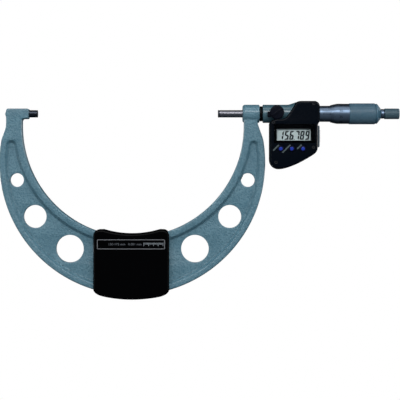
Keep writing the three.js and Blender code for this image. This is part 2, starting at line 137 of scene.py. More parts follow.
def hammertoneGroup():   # dimpled paint: a mask of the dimples and a bumped normal
    tree, given, where = surfaceGroup("hammertone", {"Scale": 500.0, "Depth": 0.3},
                                      {"Mask": "Float", "Normal": "Vector"})
    warp = noise(tree, where, 260.0, 2.0)["Color"]
    pushed = put(tree, "ShaderNodeVectorMath", {0: warp, "Scale": 0.0022}, operation="SCALE")
    moved = put(tree, "ShaderNodeVectorMath", {0: where, 1: pushed.outputs[0]}, operation="ADD")
    cells = put(tree, "ShaderNodeTexVoronoi", {"Vector": moved.outputs[0], "Scale": given["Scale"],
                                               "Smoothness": 0.8}, feature="SMOOTH_F1")
    bowl = remap(tree, cells.outputs["Distance"], 0.05, 0.75, how="SMOOTHSTEP")
    patches = noise(tree, where, 70.0, 3.0)["Fac"]
    return endTree(tree, {"Mask": sums(tree, "MULTIPLY", bowl, patches),
                          "Normal": bumped(tree, bowl, given["Depth"], 0.0004)})


def grainGroup():   # fine moulded or blasted grain
    tree, given, where = surfaceGroup("fineGrain", {"Scale": 3000.0, "Depth": 0.1},
                                      {"Value": "Float", "Normal": "Vector"})
    specks = noise(tree, where, given["Scale"], 3.0)["Fac"]
    return endTree(tree, {"Value": noise(tree, where, 45.0, 4.0)["Fac"],
                          "Normal": bumped(tree, specks, given["Depth"], 0.0001)})


def turningGroup():   # fine rings left by the lathe, about the measuring axis
    tree, given, where = surfaceGroup("turningMarks", {"Spacing": 5000.0, "Depth": 0.1},
                                      {"Value": "Float", "Normal": "Vector"})
    squeeze = vector(tree, X=given["Spacing"], Y=15.0, Z=15.0)
    rings = put(tree, "ShaderNodeVectorMath", {0: where, 1: squeeze}, operation="MULTIPLY")
    lines = noise(tree, rings.outputs[0], 1.0, 3.0)["Fac"]
    return endTree(tree, {"Value": lines, "Normal": bumped(tree, lines, given["Depth"], 0.00005)})


def edgeWearGroup():   # a wear mask along outer edges, broken up by noise, and a mask of painted shade in the concave corners and slopes
    tree, given, where = surfaceGroup("edgeWear", {"Amount": 0.5}, {"Mask": "Float", "Corner": "Float"})
    crest = put(tree, "ShaderNodeNewGeometry").outputs["Pointiness"]
    broken = sums(tree, "MULTIPLY", remap(tree, crest, 0.52, 0.62), noise(tree, where, 500.0, 4.0)["Fac"])
    return endTree(tree, {"Mask": sums(tree, "MULTIPLY", broken, given["Amount"], clamp=True),
                          # the second mask marks the concave corners, where painted shade darkens the paint
                          "Corner": remap(tree, crest, 0.485, 0.42)})


groups = {make.__name__: make() for make in (hammertoneGroup, grainGroup, turningGroup, edgeWearGroup)}
print("surface groups made")


def use(tree, group, **inputs):
    node = put(tree, "ShaderNodeGroup", node_tree=groups[group])
    for key, value in inputs.items():
        node.inputs[key].default_value = value
    return node.outputs


# finishes: colours are screen colours, roughness as (polished, dull)

paints = {
    "framePaint": {"colour": (80, 124, 142), "light": (124, 164, 180), "rough": (0.34, 0.5), "coat": 0.6,
                   "dimples": 680.0, "depth": 0.5, "wear": 0.35},
    "bodyPaint": {"colour": (66, 104, 118), "light": (92, 128, 140), "rough": (0.3, 0.42), "coat": 0.9,
                  "dimples": 900.0, "depth": 0.08, "wear": 0.3},
    "gripPaint": {"colour": (62, 102, 124), "light": (80, 120, 140), "rough": (0.42, 0.55), "coat": 0.1,
                  "dimples": 1400.0, "depth": 0.06, "wear": 0.35},
    "ratchetPaint": {"colour": (50, 82, 96), "light": (66, 100, 112), "rough": (0.42, 0.55), "coat": 0.05,
                     "dimples": 1400.0, "depth": 0.06, "wear": 0.35},
}


def startMaterial(name, constants):
    material = bpy.data.materials.new(name)
    material.use_nodes = True
    tree = material.node_tree
    shader = tree.nodes["Principled BSDF"]
    for key, value in constants.items():
        shader.inputs[key].default_value = value
    return material, tree, shader


def dress(tree, shader, colour, normal, value, rough):   # links a finish's colour, bump and uneven roughness
    tree.links.new(colour, shader.inputs["Base Color"])
    tree.links.new(normal, shader.inputs["Normal"])
    roughened(tree, shader, value, *rough)


def roughened(tree, shader, value, low, high):
    tree.links.new(remap(tree, value, 0.3, 0.7, low, high), shader.inputs["Roughness"])


def paint(name, look):
    material, tree, shader = startMaterial(name, {"Coat Weight": look["coat"], "Coat Roughness": 0.12,
                                                  "Metallic": 0.0})
    dimples = use(tree, "hammertoneGroup", Scale=look["dimples"], Depth=look["depth"])
    grain = use(tree, "grainGroup", Scale=2500.0, Depth=0.05)
    wear = use(tree, "edgeWearGroup", Amount=look["wear"])
    colour = blendColours(tree, dimples["Mask"], linear(look["colour"]), linear(look["light"]))
    colour = blendColours(tree, wear["Mask"], colour, linear((150, 166, 176)))
    # painted shade: the concave corners and slopes darkened to 0.55 of the paint colour
    colour = blendColours(tree, wear["Corner"], colour, linear([c * 0.55 for c in look["colour"]]))
    dress(tree, shader, colour, dimples["Normal"], grain["Value"], look["rough"])
    return material


def plastic(name, colour, rough, specular=0.35, grain=0.02, scale=4000.0, worn=40):
    material, tree, shader = startMaterial(name, {"Specular IOR Level": specular})
    fine = use(tree, "grainGroup", Scale=scale, Depth=grain)
    wear = use(tree, "edgeWearGroup", Amount=0.12)
    pale = [min(255, c + worn) for c in colour]
    mixed = blendColours(tree, wear["Mask"], linear(colour), linear(pale))
    dress(tree, shader, mixed, fine["Normal"], fine["Value"], rough)
    return material


def metal(name, colour, rough, turned=0.15, worn=0.5):
    material, tree, shader = startMaterial(name, {"Metallic": 1.0})
    marks = use(tree, "turningGroup", Spacing=14000.0, Depth=turned)
    wear = use(tree, "edgeWearGroup", Amount=worn)
    shade = blendColours(tree, marks["Value"], linear(colour), linear([c * 0.86 for c in colour]))
    bright = linear([min(255, c + 30) for c in colour])
    mixed = blendColours(tree, wear["Mask"], shade, bright)
    dress(tree, shader, mixed, marks["Normal"], marks["Value"], rough)
    return material


def displayGlass():
    material, tree, shader = startMaterial("displayGlass", {"Base Color": linear((6, 9, 12)), "Alpha": 0.1,
                                                            "Specular IOR Level": 0.4})
    smears = use(tree, "grainGroup", Scale=900.0, Depth=0.004)
    roughened(tree, shader, smears["Value"], 0.06, 0.14)
    return material


plastics = {   # colour, roughness and whatever else differs
    "shieldPlastic": ((2, 2, 3), (0.12, 0.2), {"specular": 0.06, "worn": 4}),
    "coverPlastic": ((2, 8, 18), (0.22, 0.3), {"specular": 0.1, "grain": 0.05, "scale": 5200.0, "worn": 4}),
    "knobPlastic": ((8, 12, 24), (0.3, 0.4), {"specular": 0.12, "grain": 0.05}),
    "windowBlack": ((0, 1, 3), (0.1, 0.16), {"specular": 0.03, "grain": 0.0, "worn": 6}),
    # the display panel's colour is lifted to near white, above its own pale grey: painted light that makes up
    # for the shade the window recess casts on it
    "displayGrey": ((236, 255, 255), (0.5, 0.6), {"specular": 0.2, "grain": 0.0}),
    "digitBlack": ((0, 12, 26), (0.5, 0.6), {"specular": 0.05}),
    "buttonBlue": ((28, 58, 176), (0.28, 0.38), {"specular": 0.3, "grain": 0.0}),
    "buttonDark": ((4, 7, 34), (0.3, 0.4), {"specular": 0.15}),
    "labelGrey": ((84, 96, 98), (0.5, 0.6), {"specular": 0.1}),
    "printSilver": ((118, 120, 124), (0.4, 0.5), {"specular": 0.4}),
    "printWhite": ((176, 184, 192), (0.5, 0.6), {"specular": 0.3}),
    "printDim": ((104, 108, 114), (0.5, 0.6), {"specular": 0.1}),
    "engraving": ((4, 8, 22), (0.5, 0.6), {"specular": 0.05}),
    "capGrey": ((84, 98, 108), (0.42, 0.55), {"specular": 0.25, "grain": 0.1}),
    "rubberBlack": ((4, 5, 7), (0.5, 0.65), {"specular": 0.12, "grain": 0.1}),
    "circuitGreen": ((24, 84, 52), (0.4, 0.55), {"specular": 0.4}),
}
metals = {
    "groundSteel": ((144, 144, 152), (0.24, 0.3), {"turned": 0.02}),
    "darkSteel": ((62, 68, 78), (0.2, 0.28), {"turned": 0.02}),
    "satinChrome": ((124, 144, 168), (0.32, 0.4), {"turned": 0.03}),
    "greyCarbide": ((66, 70, 78), (0.22, 0.34), {"turned": 0.05}),
    "screwSteel": ((60, 62, 66), (0.3, 0.4), {"turned": 0.05, "worn": 0.0}),
    "machinedBrass": ((204, 164, 92), (0.25, 0.35), {"turned": 0.15}),
}
materials = {"displayGlass": displayGlass()}
for name, look in paints.items():
    materials[name] = paint(name, look)
for make, looks in ((plastic, plastics), (metal, metals)):
    for name, (colour, rough, rest) in looks.items():
        materials[name] = make(name, colour, rough, **rest)
slotLooks = {   # what a frame node that stays wears, by its slot in the record
    "frame_paint": "framePaint", "body_paint": "bodyPaint", "grip_paint": "gripPaint",
    "black_plastic": "coverPlastic", "nameplate": "shieldPlastic", "rubber": "rubberBlack",
    "steel": "groundSteel", "carbide": "greyCarbide", "satin_chrome": "satinChrome", "screws": "screwSteel",
    "brass": "machinedBrass", "window": "displayGlass", "display": "displayGrey", "circuit": "circuitGreen",
    "blue_button": "buttonDark", "grey_plastic": "capGrey",
}
nodeSlot = {part["node"]: part["material_slot"] for part in frame["record"]["subparts"]}
for node, piece in frame["nodes"].items():
    piece.data.materials.clear()
    piece.data.materials.append(materials[slotLooks[nodeSlot[node]]])
print("finishes made:", len(materials))


# camera and lights

camera = {"middle": (141.2, -75.0), "width": 348.2, "lens": 120.0, "sensor": 36.0}
eye = bpy.data.objects.new("camera", bpy.data.cameras.new("camera"))
eye.data.lens, eye.data.sensor_width = camera["lens"], camera["sensor"]
distance = camera["width"] * camera["lens"] / camera["sensor"]
eye.location = Vector((camera["middle"][0], -distance, camera["middle"][1])) * mm
eye.rotation_euler = (math.radians(90), 0, 0)
eye.data.clip_start, eye.data.clip_end = 0.05, 50
bpy.context.scene.collection.objects.link(eye)
bpy.context.scene.camera = eye
bpy.context.scene.view_settings.view_transform = "Standard"

lights = {   # place, size and power of each soft box; all face the middle of the bow
    "keyBox": {"at": (0.14, -1.4, 0.78), "size": (2.4, 0.45), "power": 17.0},
    "leftBox": {"at": (-1.35, -0.75, 0.1), "size": (0.5, 1.2), "power": 3.5},
    "rightBox": {"at": (1.5, -0.75, 0.1), "size": (0.5, 1.2), "power": 3.5},
    "topBox": {"at": (0.10, -0.5, 1.3), "size": (1.6, 0.4), "power": 3.0},
    "backLeft": {"at": (-1.35, 1.1, 0.15), "size": (0.5, 0.8), "power": 13.0},
    "backRight": {"at": (1.6, 1.1, 0.15), "size": (0.5, 0.8), "power": 13.0},
}
target = Vector((0.12, 0, -0.06))
for name, box in lights.items():
    lamp = bpy.data.objects.new(name, bpy.data.lights.new(name, "AREA"))
    lamp.data.shape, (lamp.data.size, lamp.data.size_y) = "RECTANGLE", box["size"]
    lamp.data.energy = box["power"]
    lamp.location = box["at"]
    lamp.visible_camera = False
    lamp.rotation_euler = (target - lamp.location).to_track_quat("-Z", "Y").to_euler()
    bpy.context.scene.collection.objects.link(lamp)


def studioWorld():   # white behind the object; its reflections see a room, dim in front and dark elsewhere
    world = bpy.data.worlds.new("studio")
    bpy.context.scene.world = world
    world.use_nodes = True
    tree = world.node_tree
    tree.nodes.clear()
    way = split(tree, put(tree, "ShaderNodeTexCoord").outputs["Generated"])
    ahead = remap(tree, way[1], 0.2, -0.9, 0.02, 0.22)
    seen = put(tree, "ShaderNodeBackground", {"Color": (1, 1, 1, 1), "Strength": 1.0})
    room = put(tree, "ShaderNodeBackground", {"Color": (0.7, 0.78, 0.86, 1), "Strength": ahead})
    ray = put(tree, "ShaderNodeLightPath").outputs["Is Camera Ray"]
    mix = put(tree, "ShaderNodeMixShader", {0: ray, 1: room.outputs[0], 2: seen.outputs[0]})
    put(tree, "ShaderNodeOutputWorld", {"Surface": mix.outputs[0]})


studioWorld()
print("camera and lights placed")


# shapes: outlines are counter-clockwise lists of (x, z), profiles are lists of (along, radius)

def arc(x, z, r, start, end, steps):
    angles = [math.radians(start + (end - start) * i / steps) for i in range(steps + 1)]
    return [(x + r * math.cos(a), z + r * math.sin(a)) for a in angles]


def bend(steps, *corners):   # a Bezier curve of any degree
    points = []
    for i in range(steps + 1):
        row, t = [Vector(c) for c in corners], i / steps
        while len(row) > 1:
            row = [a.lerp(b, t) for a, b in zip(row, row[1:])]
        points.append(tuple(row[0]))
    return points


def soften(points, radius, steps=4, closed=True, sharpest=20):   # rounds the corners of a chain of points
    result, count = [], len(points)
    for i, point in enumerate(points):
        if not closed and i in (0, count - 1):
            result.append(point)
            continue
        here, before, after = Vector(point), Vector(points[i - 1]), Vector(points[(i + 1) % count])
        a, b = before - here, after - here
        turn = math.pi - a.angle(b, math.pi)
        if math.degrees(turn) < sharpest:
            result.append(point)
            continue
        reach = min(radius * math.tan(turn / 2), a.length * 0.45, b.length * 0.45)
        result += bend(steps, here + a.normalized() * reach, here, here + b.normalized() * reach)
    return result


def inset(loop, amount):   # moves every side of a closed outline inwards
    result, count = [], len(loop)
    for i, point in enumerate(loop):
        here = Vector(point)
        first = (here - Vector(loop[i - 1])).normalized()
        second = (Vector(loop[(i + 1) % count]) - here).normalized()
        normal = Vector((-first.y - second.y, first.x + second.x))
        result.append(tuple(here + normal * amount / (1 + first.dot(second))))
    return result


def meshOf(shape, mesh, outwards=True):   # ends an edit and keeps its result in this mesh
    if outwards:
        bmesh.ops.recalc_face_normals(shape, faces=shape.faces)
    shape.to_mesh(mesh)
    shape.free()
    return mesh


def ringSolid(name, strips, fills):
    # a strip is a list of rings in order; a fill is a list of (strip, ring), the outer edge first
    shape = bmesh.new()
    made = [[[shape.verts.new(p) for p in ring] for ring in strip] for strip in strips]
    for strip in made:
        for a, b in zip(strip, strip[1:]):
            for i in range(len(a)):
                j = (i + 1) % len(a)
                face = shape.faces.new((a[i], a[j], b[j], b[i]))
                face.smooth = True
    for fill in fills:
        loops = [made[s][r] for s, r in fill]
        flat = [v for loop in loops for v in loop]
        for triangle in tessellate_polygon([[v.co for v in loop] for loop in loops]):
            corners = [flat[i] for i in triangle]
            if len(set(corners)) == 3 and not shape.faces.get(corners):
                shape.faces.new(corners)
    bmesh.ops.remove_doubles(shape, verts=shape.verts, dist=1e-4)
    return meshOf(shape, bpy.data.meshes.new(name))


def turnedMesh(name, profile, segments=96, axis="x", centre=(0, 0), soft=0.0):
    # spins an outline of (along, radius) about x, or about y through centre (x, z)
    closed = profile[0][1] > 0 or profile[-1][1] > 0
    if soft:
        profile = soften(profile, soft, steps=3, closed=closed, sharpest=12)
    shape = bmesh.new()
    rings = []
    for along, radius in profile:
        spots = []
        for i in range(segments if radius > 1e-6 else 1):
            a = 2 * math.pi * i / segments
            u, v = radius * math.cos(a), radius * math.sin(a)
            spots.append((along, u, v) if axis == "x" else (centre[0] + u, along, centre[1] + v))
        rings.append([shape.verts.new(p) for p in spots])
    pairs = list(zip(rings, rings[1:])) + ([(rings[-1], rings[0])] if closed else [])
    for a, b in pairs:
        for i in range(segments):
            j = (i + 1) % segments
            corners = [a[i % len(a)], a[j % len(a)], b[j % len(b)], b[i % len(b)]]
            corners = [v for k, v in enumerate(corners) if v not in corners[:k]]
            if len(corners) > 2:
                shape.faces.new(corners).smooth = True
    return meshOf(shape, bpy.data.meshes.new(name))


def plateRings(outline, front, back, frontEdge=0.0, backEdge=0.0, steps=4):
    def lip(y, edge, way):
        angles = [math.pi / 2 * i / steps for i in range(steps + 1)] if edge else [0]
        return [[(x, y + way * edge * (1 - math.sin(a)), z)
                 for x, z in inset(outline, edge * (1 - math.cos(a)))] for a in angles]
    return lip(front, frontEdge, 1)[::-1] + lip(back, backEdge, -1)


def slabMesh(name, outline, front, back, frontEdge=0.0, backEdge=0.0, steps=4):
    # a flat plate in the x-z plane between two y values, its edges rounded
    rings = plateRings(outline, front, back, frontEdge, backEdge, steps)
    return ringSolid(name, [rings], [[(0, 0)], [(0, len(rings) - 1)]])


def boxMesh(name, x, y, z, edge=0.0):   # a box from its three spans
    outline = [(x[0], z[0]), (x[1], z[0]), (x[1], z[1]), (x[0], z[1])]
    if edge:
        outline = soften(outline, edge * 1.5)
    return slabMesh(name, outline, y[0], y[1], edge, edge, 3)


def tube(ends, outer, inner=0):   # a profile: a plain rod, or a tube
    return [(ends[0], inner), (ends[0], outer), (ends[1], outer), (ends[1], inner)]


def pegMesh(name, x, z, r, front, back, segments=48):
    return turnedMesh(name, tube((front, back), r), segments, "y", (x, z))


def bore(name, start, end, r, segments=64):
    return turnedMesh(name, tube((start, end), r), segments)


def wrap(mesh):
    piece = bpy.data.objects.new(mesh.name, mesh)
    bpy.context.scene.collection.objects.link(piece)
    return piece


def finalMesh(piece):   # a plain mesh of an object as its modifiers leave it
    return bpy.data.meshes.new_from_object(piece.evaluated_get(bpy.context.evaluated_depsgraph_get()))


def combine(mesh, joins=(), cuts=()):   # adds some meshes to this one, then takes others out of it
    piece = wrap(mesh)
    for operation, other in [("UNION", join) for join in joins] + [("DIFFERENCE", cut) for cut in cuts]:
        tool = wrap(other)
        change = piece.modifiers.new("combine", "BOOLEAN")
        change.operation, change.object, change.solver = operation, tool, "MANIFOLD"
        result = finalMesh(piece)
        piece.modifiers.clear()
        piece.data = result
        bpy.data.objects.remove(tool)
    result = piece.data
    result.name = mesh.name
    bpy.data.objects.remove(piece)
    return result


def finishPiece(name, mesh, look, body, nodes=(), creaseAngle=32):
    # scales a mesh from millimetres, gives it its finish and body, and hides the frame nodes it stands for
    mesh.transform(Matrix.Scale(mm, 4))
    mesh.name = name
    for polygon in mesh.polygons:
        polygon.use_smooth = True
    mesh.set_sharp_from_angle(angle=math.radians(creaseAngle))
    mesh.materials.clear()
    mesh.materials.append(materials[look])
    piece = bpy.data.objects.new(name, mesh)
    bpy.context.scene.collection.objects.link(piece)
    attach(piece, body)
    if nodes:
        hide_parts(*nodes)
    return piece


def joinMeshes(name, meshes):
    shape = bmesh.new()
    for mesh in meshes:
        shape.from_mesh(mesh)
    return meshOf(shape, bpy.data.meshes.new(name), outwards=False)


def lettering(name, text, size, bold=0.0):   # flat text about its own middle, as a mesh in millimetres
    curve = bpy.data.curves.new(name, "FONT")
    curve.body, curve.size, curve.offset = text, size, bold
    curve.align_x, curve.align_y = "CENTER", "CENTER"
    curve.extrude, curve.resolution_u = 0.03, 3
    writing = wrap(curve)
    mesh = finalMesh(writing)
    bpy.data.objects.remove(writing)
    return mesh


def printed(name, text, size, x, z, y, bold=0.0):   # the same standing on a face that looks along -y
    mesh = lettering(name, text, size, bold)
    mesh.transform(Matrix.Translation((x, y, z)) @ Matrix.Rotation(math.radians(90), 4, "X"))
    return mesh


def rolledText(name, text, size, x, angle, radius):   # the same bent round the axis; 0 degrees is the front
    mesh = lettering(name, text, size)
    for vertex in mesh.vertices:
        a = math.radians(angle) + vertex.co.y / radius
        r = radius + 0.02 + vertex.co.z
        vertex.co = (x + vertex.co.x, -r * math.cos(a), r * math.sin(a))
    return mesh


# repeated things, made with geometry nodes

def endCopies(tree, copies, given, label, move=None):   # instances made real, moved and given a finish
    solid = put(tree, "GeometryNodeRealizeInstances", {0: copies.outputs[0]})
    if move:
        solid = put(tree, "GeometryNodeSetPosition", {"Geometry": solid.outputs[0], "Position": move()})
    done = put(tree, "GeometryNodeSetMaterial", {"Geometry": solid.outputs[0], "Material": given["Finish"]})
    return endTree(tree, {label: done.outputs[0]})


def marksTree():   # bars in a row or round the measuring axis, on a cylinder or a cone; angles in degrees
    numbers = {"Count": ("Int", 10), "Start": ("Vector", None), "Step": ("Vector", None),
               "Size": ("Vector", None), "Long every": ("Int", 5), "Longer": ("Vector", (1.0, 1.0, 1.0)),
               "Cone start": ("Float", 0.0), "Cone end": ("Float", 1.0), "Start radius": ("Float", 1.0),
               "End radius": ("Float", 1.0), "Finish": ("Material", None)}
    tree, given = startTree("scaleMarks", "GeometryNodeTree", numbers, {"Marks": "Geometry"})
    line = put(tree, "GeometryNodeMeshLine", {"Count": given["Count"], "Start Location": given["Start"],
                                              "Offset": given["Step"]}, mode="OFFSET")
    bar = put(tree, "GeometryNodeMeshCube", {"Size": given["Size"], "Vertices Y": 7})
    half = put(tree, "ShaderNodeVectorMath", {0: given["Size"], "Scale": 0.5}, operation="SCALE")
    seated = put(tree, "GeometryNodeTransform", {"Geometry": bar.outputs["Mesh"],
                                                 "Translation": half.outputs[0]})
    turn = sums(tree, "MODULO", put(tree, "GeometryNodeInputIndex").outputs[0], given["Long every"])
    isLong = sums(tree, "LESS_THAN", turn, 0.5)
    size = put(tree, "ShaderNodeMix", {0: isLong, 4: (1, 1, 1), 5: given["Longer"]}, data_type="VECTOR")
    copies = put(tree, "GeometryNodeInstanceOnPoints", {
        "Points": line.outputs[0], "Instance": seated.outputs[0], "Scale": size.outputs[1]})

    def rolled():   # a bar is laid out as (along, angle, height) and then rolled round the axis
        along, turned, height = split(tree, put(tree, "GeometryNodeInputPosition").outputs[0])
        base = remap(tree, along, given["Cone start"], given["Cone end"],
                     given["Start radius"], given["End radius"])
        radius, angle = sums(tree, "ADD", base, height), sums(tree, "RADIANS", turned)
        y = sums(tree, "MULTIPLY", sums(tree, "MULTIPLY", radius, sums(tree, "COSINE", angle)), -1.0)
        return vector(tree, X=along, Y=y, Z=sums(tree, "MULTIPLY", radius, sums(tree, "SINE", angle)))

    return endCopies(tree, copies, given, "Marks", rolled)


def screwsTree():   # cross-recessed screws, one at each point given, made along z and then turned
    numbers = {"Places": ("Geometry", None), "Head radius": ("Float", 1.5), "Head depth": ("Float", 0.9),
               "Shank radius": ("Float", 0.8), "Shank length": ("Float", 8.0), "Recess": ("Float", 0.7),
               "Turn": ("Rotation", None), "Finish": ("Material", None)}
    tree, given = startTree("crossScrews", "GeometryNodeTree", numbers, {"Screws": "Geometry"})
    dome = put(tree, "GeometryNodeMeshCone", {
        "Vertices": 40, "Radius Top": given["Shank radius"], "Radius Bottom": given["Head radius"],
        "Depth": given["Head depth"]})
    shank = put(tree, "GeometryNodeMeshCylinder", {"Vertices": 24, "Radius": given["Shank radius"],
                                                   "Depth": given["Shank length"]})
    most = sums(tree, "MULTIPLY", given["Head depth"], 0.9)
    down = vector(tree, Z=sums(tree, "MULTIPLY_ADD", given["Shank length"], 0.5, most))
    low = put(tree, "GeometryNodeTransform", {"Geometry": shank.outputs[0], "Translation": down})
    arm, blade = (sums(tree, "MULTIPLY", given["Recess"], share) for share in (2.6, 0.45))
    cross = put(tree, "GeometryNodeJoinGeometry")
    for x, y in ((arm, blade), (blade, arm)):
        cut = put(tree, "GeometryNodeMeshCube", {"Size": vector(tree, X=x, Y=y, Z=given["Recess"])})
        tree.links.new(cut.outputs[0], cross.inputs[0])
    whole = put(tree, "GeometryNodeMeshBoolean", operation="UNION", solver="MANIFOLD")
    for part in (dome, low):
        tree.links.new(part.outputs[0], whole.inputs[1])
    made = put(tree, "GeometryNodeMeshBoolean", {0: whole.outputs[0], 1: cross.outputs[0]},
               operation="DIFFERENCE", solver="MANIFOLD")
    copies = put(tree, "GeometryNodeInstanceOnPoints", {
        "Points": given["Places"], "Instance": made.outputs[0], "Rotation": given["Turn"]})
    return endCopies(tree, copies, given, "Screws")


repeats = {"marks": marksTree(), "screws": screwsTree()}


def grow(name, kind, places=None, **inputs):   # runs one of these trees and keeps its result as a plain mesh
    start = bpy.data.meshes.new(name)
    start.from_pydata(places or [], [], [])
    piece = wrap(start)
    change = piece.modifiers.new(name, "NODES")
    change.node_group = repeats[kind]
    for socket in repeats[kind].interface.items_tree:
        label = socket.name.replace(" ", "")
        if socket.in_out == "INPUT" and label in inputs:
            change[socket.identifier] = inputs[label]
    mesh = finalMesh(piece)
    piece.modifiers.clear()
    bpy.data.objects.remove(piece)
    shape = bmesh.new()
    shape.from_mesh(mesh)
    return meshOf(shape, mesh)


print("shape helpers ready")


# the frame: a cast bow with rims, a recessed web and lightening holes

bow = {"half": 6.0, "web": 2.9, "edge": 1.2, "slope": 1.4, "fillet": 0.5, "outerRim": 5.2, "innerRim": 6.0,
       "outer": (82.5, -42.35, 115.25), "inner": (82.95, -10.7, 96.4), "bowTop": -24.0, "pocketTop": -27.6,
       "lip": 0.3, "holes": ((100.3, -57.6, 6.0), (84.6, -89.3, 10.0), (54.3, -117.3, 12.0)),
       "screwHoles": ((60.0, -128.5, 1.9), (103.5, -128.5, 1.9))}


def grown(circle, by):
    return circle[0], circle[1], circle[2] + by


def lift(circle, z):   # angle from the horizontal to a circle's point at height z
    return math.degrees(math.asin((z - circle[1]) / circle[2]))


def bowOutline():
    outer, inner = bow["outer"], bow["inner"]
    rise = lift(outer, bow["bowTop"])
    sweep = arc(*outer, 180 - rise, 360 + rise, 150)
    left, right = inner[0] - inner[2], inner[0] + inner[2]
    crown = soften([(-7.6, 0), (-7.6, 4.3), (-25.8, 4.3), (-26.7, 3.4), (-27.9, -0.6), (-27, -3.2),
                    (-27, -8)], 1.3, 4, False)
    neck = bend(14, (-27, -8), (-27, -14), (-30, -18.5), sweep[0])
    shoulder = bend(14, sweep[-1], (195.2, -18.5), (192.4, -13.5), (191.2, -8))
    crook = bend(10, (left, -7.2), (left, -4.4), (-11.4, -4.4))
    crook += soften([(-11.4, -4.4), (-7.6, -4.4), (-7.6, 0)], 1.3, 4, False)[1:-1]
    return crown + neck[1:] + sweep[1:] + shoulder[1:] + [(191.2, -2), (right, -2)] \
        + arc(*inner, 0, -180, 140) + crook


def pocketOutline():   # the web's edge, where the rims' slopes meet it
    outside = grown(bow["outer"], -bow["outerRim"] - bow["slope"])
    inside = grown(bow["inner"], bow["innerRim"] + bow["slope"])
    top = bow["pocketTop"]
    low, high = lift(outside, top), lift(inside, top)
    sweep, back = arc(*outside, 180 - low, 360 + low, 140), arc(*inside, high, -180 - high, 130)
    ends = [arc((a[0] + b[0]) / 2, top, abs(a[0] - b[0]) / 2, 0, 180, 16)[1:-1]
            for a, b in ((sweep[-1], back[0]), (back[-1], sweep[0]))]
    return sweep + ends[0] + back + ends[1]


def frameMesh():
    half, web, slope, fillet = bow["half"], bow["web"], bow["slope"], bow["fillet"]
    depth = half - web
    wall = bend(8, (slope + 0.8, 0), (slope - 0.1, 0), (0.2, depth), (-fillet, depth))
    wall.append((-fillet - 0.6, depth))
    pocket = pocketOutline()
    walls = [[[(x, side * (half - d), z) for x, z in inset(pocket, -o)] for o, d in wall] for side in (-1, 1)]
    middle, lip = bow["outer"][0], bow["lip"]
    holes = [(middle + side * away, z, r) for away, z, r in bow["holes"] for side in (-1, 1)]
    near = lip * 0.3
    steps = [(lip, -web), (near, near - web), (0, lip - web), (0, web - lip), (near, web - near), (lip, web)]
    tubes = [[[(a, y, b) for a, b in arc(x, z, r + grow, 0, 360, 64)[:-1]] for grow, y in steps]
             for x, z, r in holes + list(bow["screwHoles"])]
    rim = plateRings(bowOutline(), -half, half, bow["edge"], bow["edge"], 5)
    strips = [rim, *walls, *tubes]
    last, deep, far = len(rim) - 1, len(wall) - 1, len(steps) - 1
    drilled = range(3, len(strips))
    fills = [[(0, 0), (1, 0)], [(0, last), (2, 0)],
             [(1, deep)] + [(i, 0) for i in drilled], [(2, deep)] + [(i, far) for i in drilled]]
    return ringSolid("frame", strips, fills)


bosses = {"anvil": ((-14, 0), (-14, 4.0), (-7.2, 4.0), (-7.2, 0)), "anvilBore": 3.475,
          "head": ((178.2, 0), (178.2, 6.4), (178.9, 7.4), (180.1, 7.9), (192.3, 7.9), (192.9, 7.3),
                   (192.9, 0)), "headBore": 5.9}


finishPiece("bowFrame", combine(
    frameMesh(),
    [turnedMesh("anvilBoss", bosses["anvil"], 72, soft=0.5),
     turnedMesh("headBoss", bosses["head"], soft=0.6)],
    [bore("anvilBore", -22, 0, bosses["anvilBore"]), bore("headBore", 176, 194, bosses["headBore"])]),
    "framePaint", "frame", ["frame"])


def roundPiece(name, node, outer, inner, look, body="frame", segments=96, soft=0.2):   # a plain rod or tube
    piece = turnedMesh(name, tube(span(node)[0], outer, inner), segments, soft=soft)
    finishPiece(name, piece, look, body, [node])


faceRadius = 3.175   # the measuring faces, the anvil and the spindle in front of its thread
roundPiece("anvilStem", "anvil", faceRadius, 0, "darkSteel", segments=80)
roundPiece("anvilFace", "anvil_tip", faceRadius, 0, "greyCarbide", segments=80, soft=0.15)
print("frame and anvil made")


# heat shields, nameplate and their screws

shield = {"half": 10.3, "corner": 5.5, "dip": 3.6, "side": -152.0, "foot": 9.5, "belly": 3.6, "edge": 2.2,
          "room": 0.3, "rimStep": 1.7}
shieldSpan = span("heat_shield_front")


def shieldOutline():
    (left, right), _, (_, top) = shieldSpan
    corner, side = shield["corner"], shield["side"]
    belly = grown(bow["outer"], shield["belly"])
    swing = math.degrees(math.asin((belly[0] - left - shield["foot"]) / belly[2]))
    bottom = arc(*belly, 270 - swing, 270 + swing, 40)
    brow = bend(24, (right - corner - 3, top), (middleOf((left, right)), top - 2 * shield["dip"]),
                (left + corner + 3, top))
    return (bottom + bend(12, bottom[-1], (right, side - 4.6), (right, side))[1:]
            + arc(right - corner, top - corner, corner, 0, 80, 12) + brow
            + arc(left + corner, top - corner, corner, 100, 180, 12)
            + bend(12, (left, side), (left, side - 4.6), bottom[0])[:-1])


def band(name, low, high, y):   # part of a flat ring under the shields
    outline = arc(*high, 235, 305, 60) + arc(*low, 305, 235, 60)
    return slabMesh(name, outline, *y)


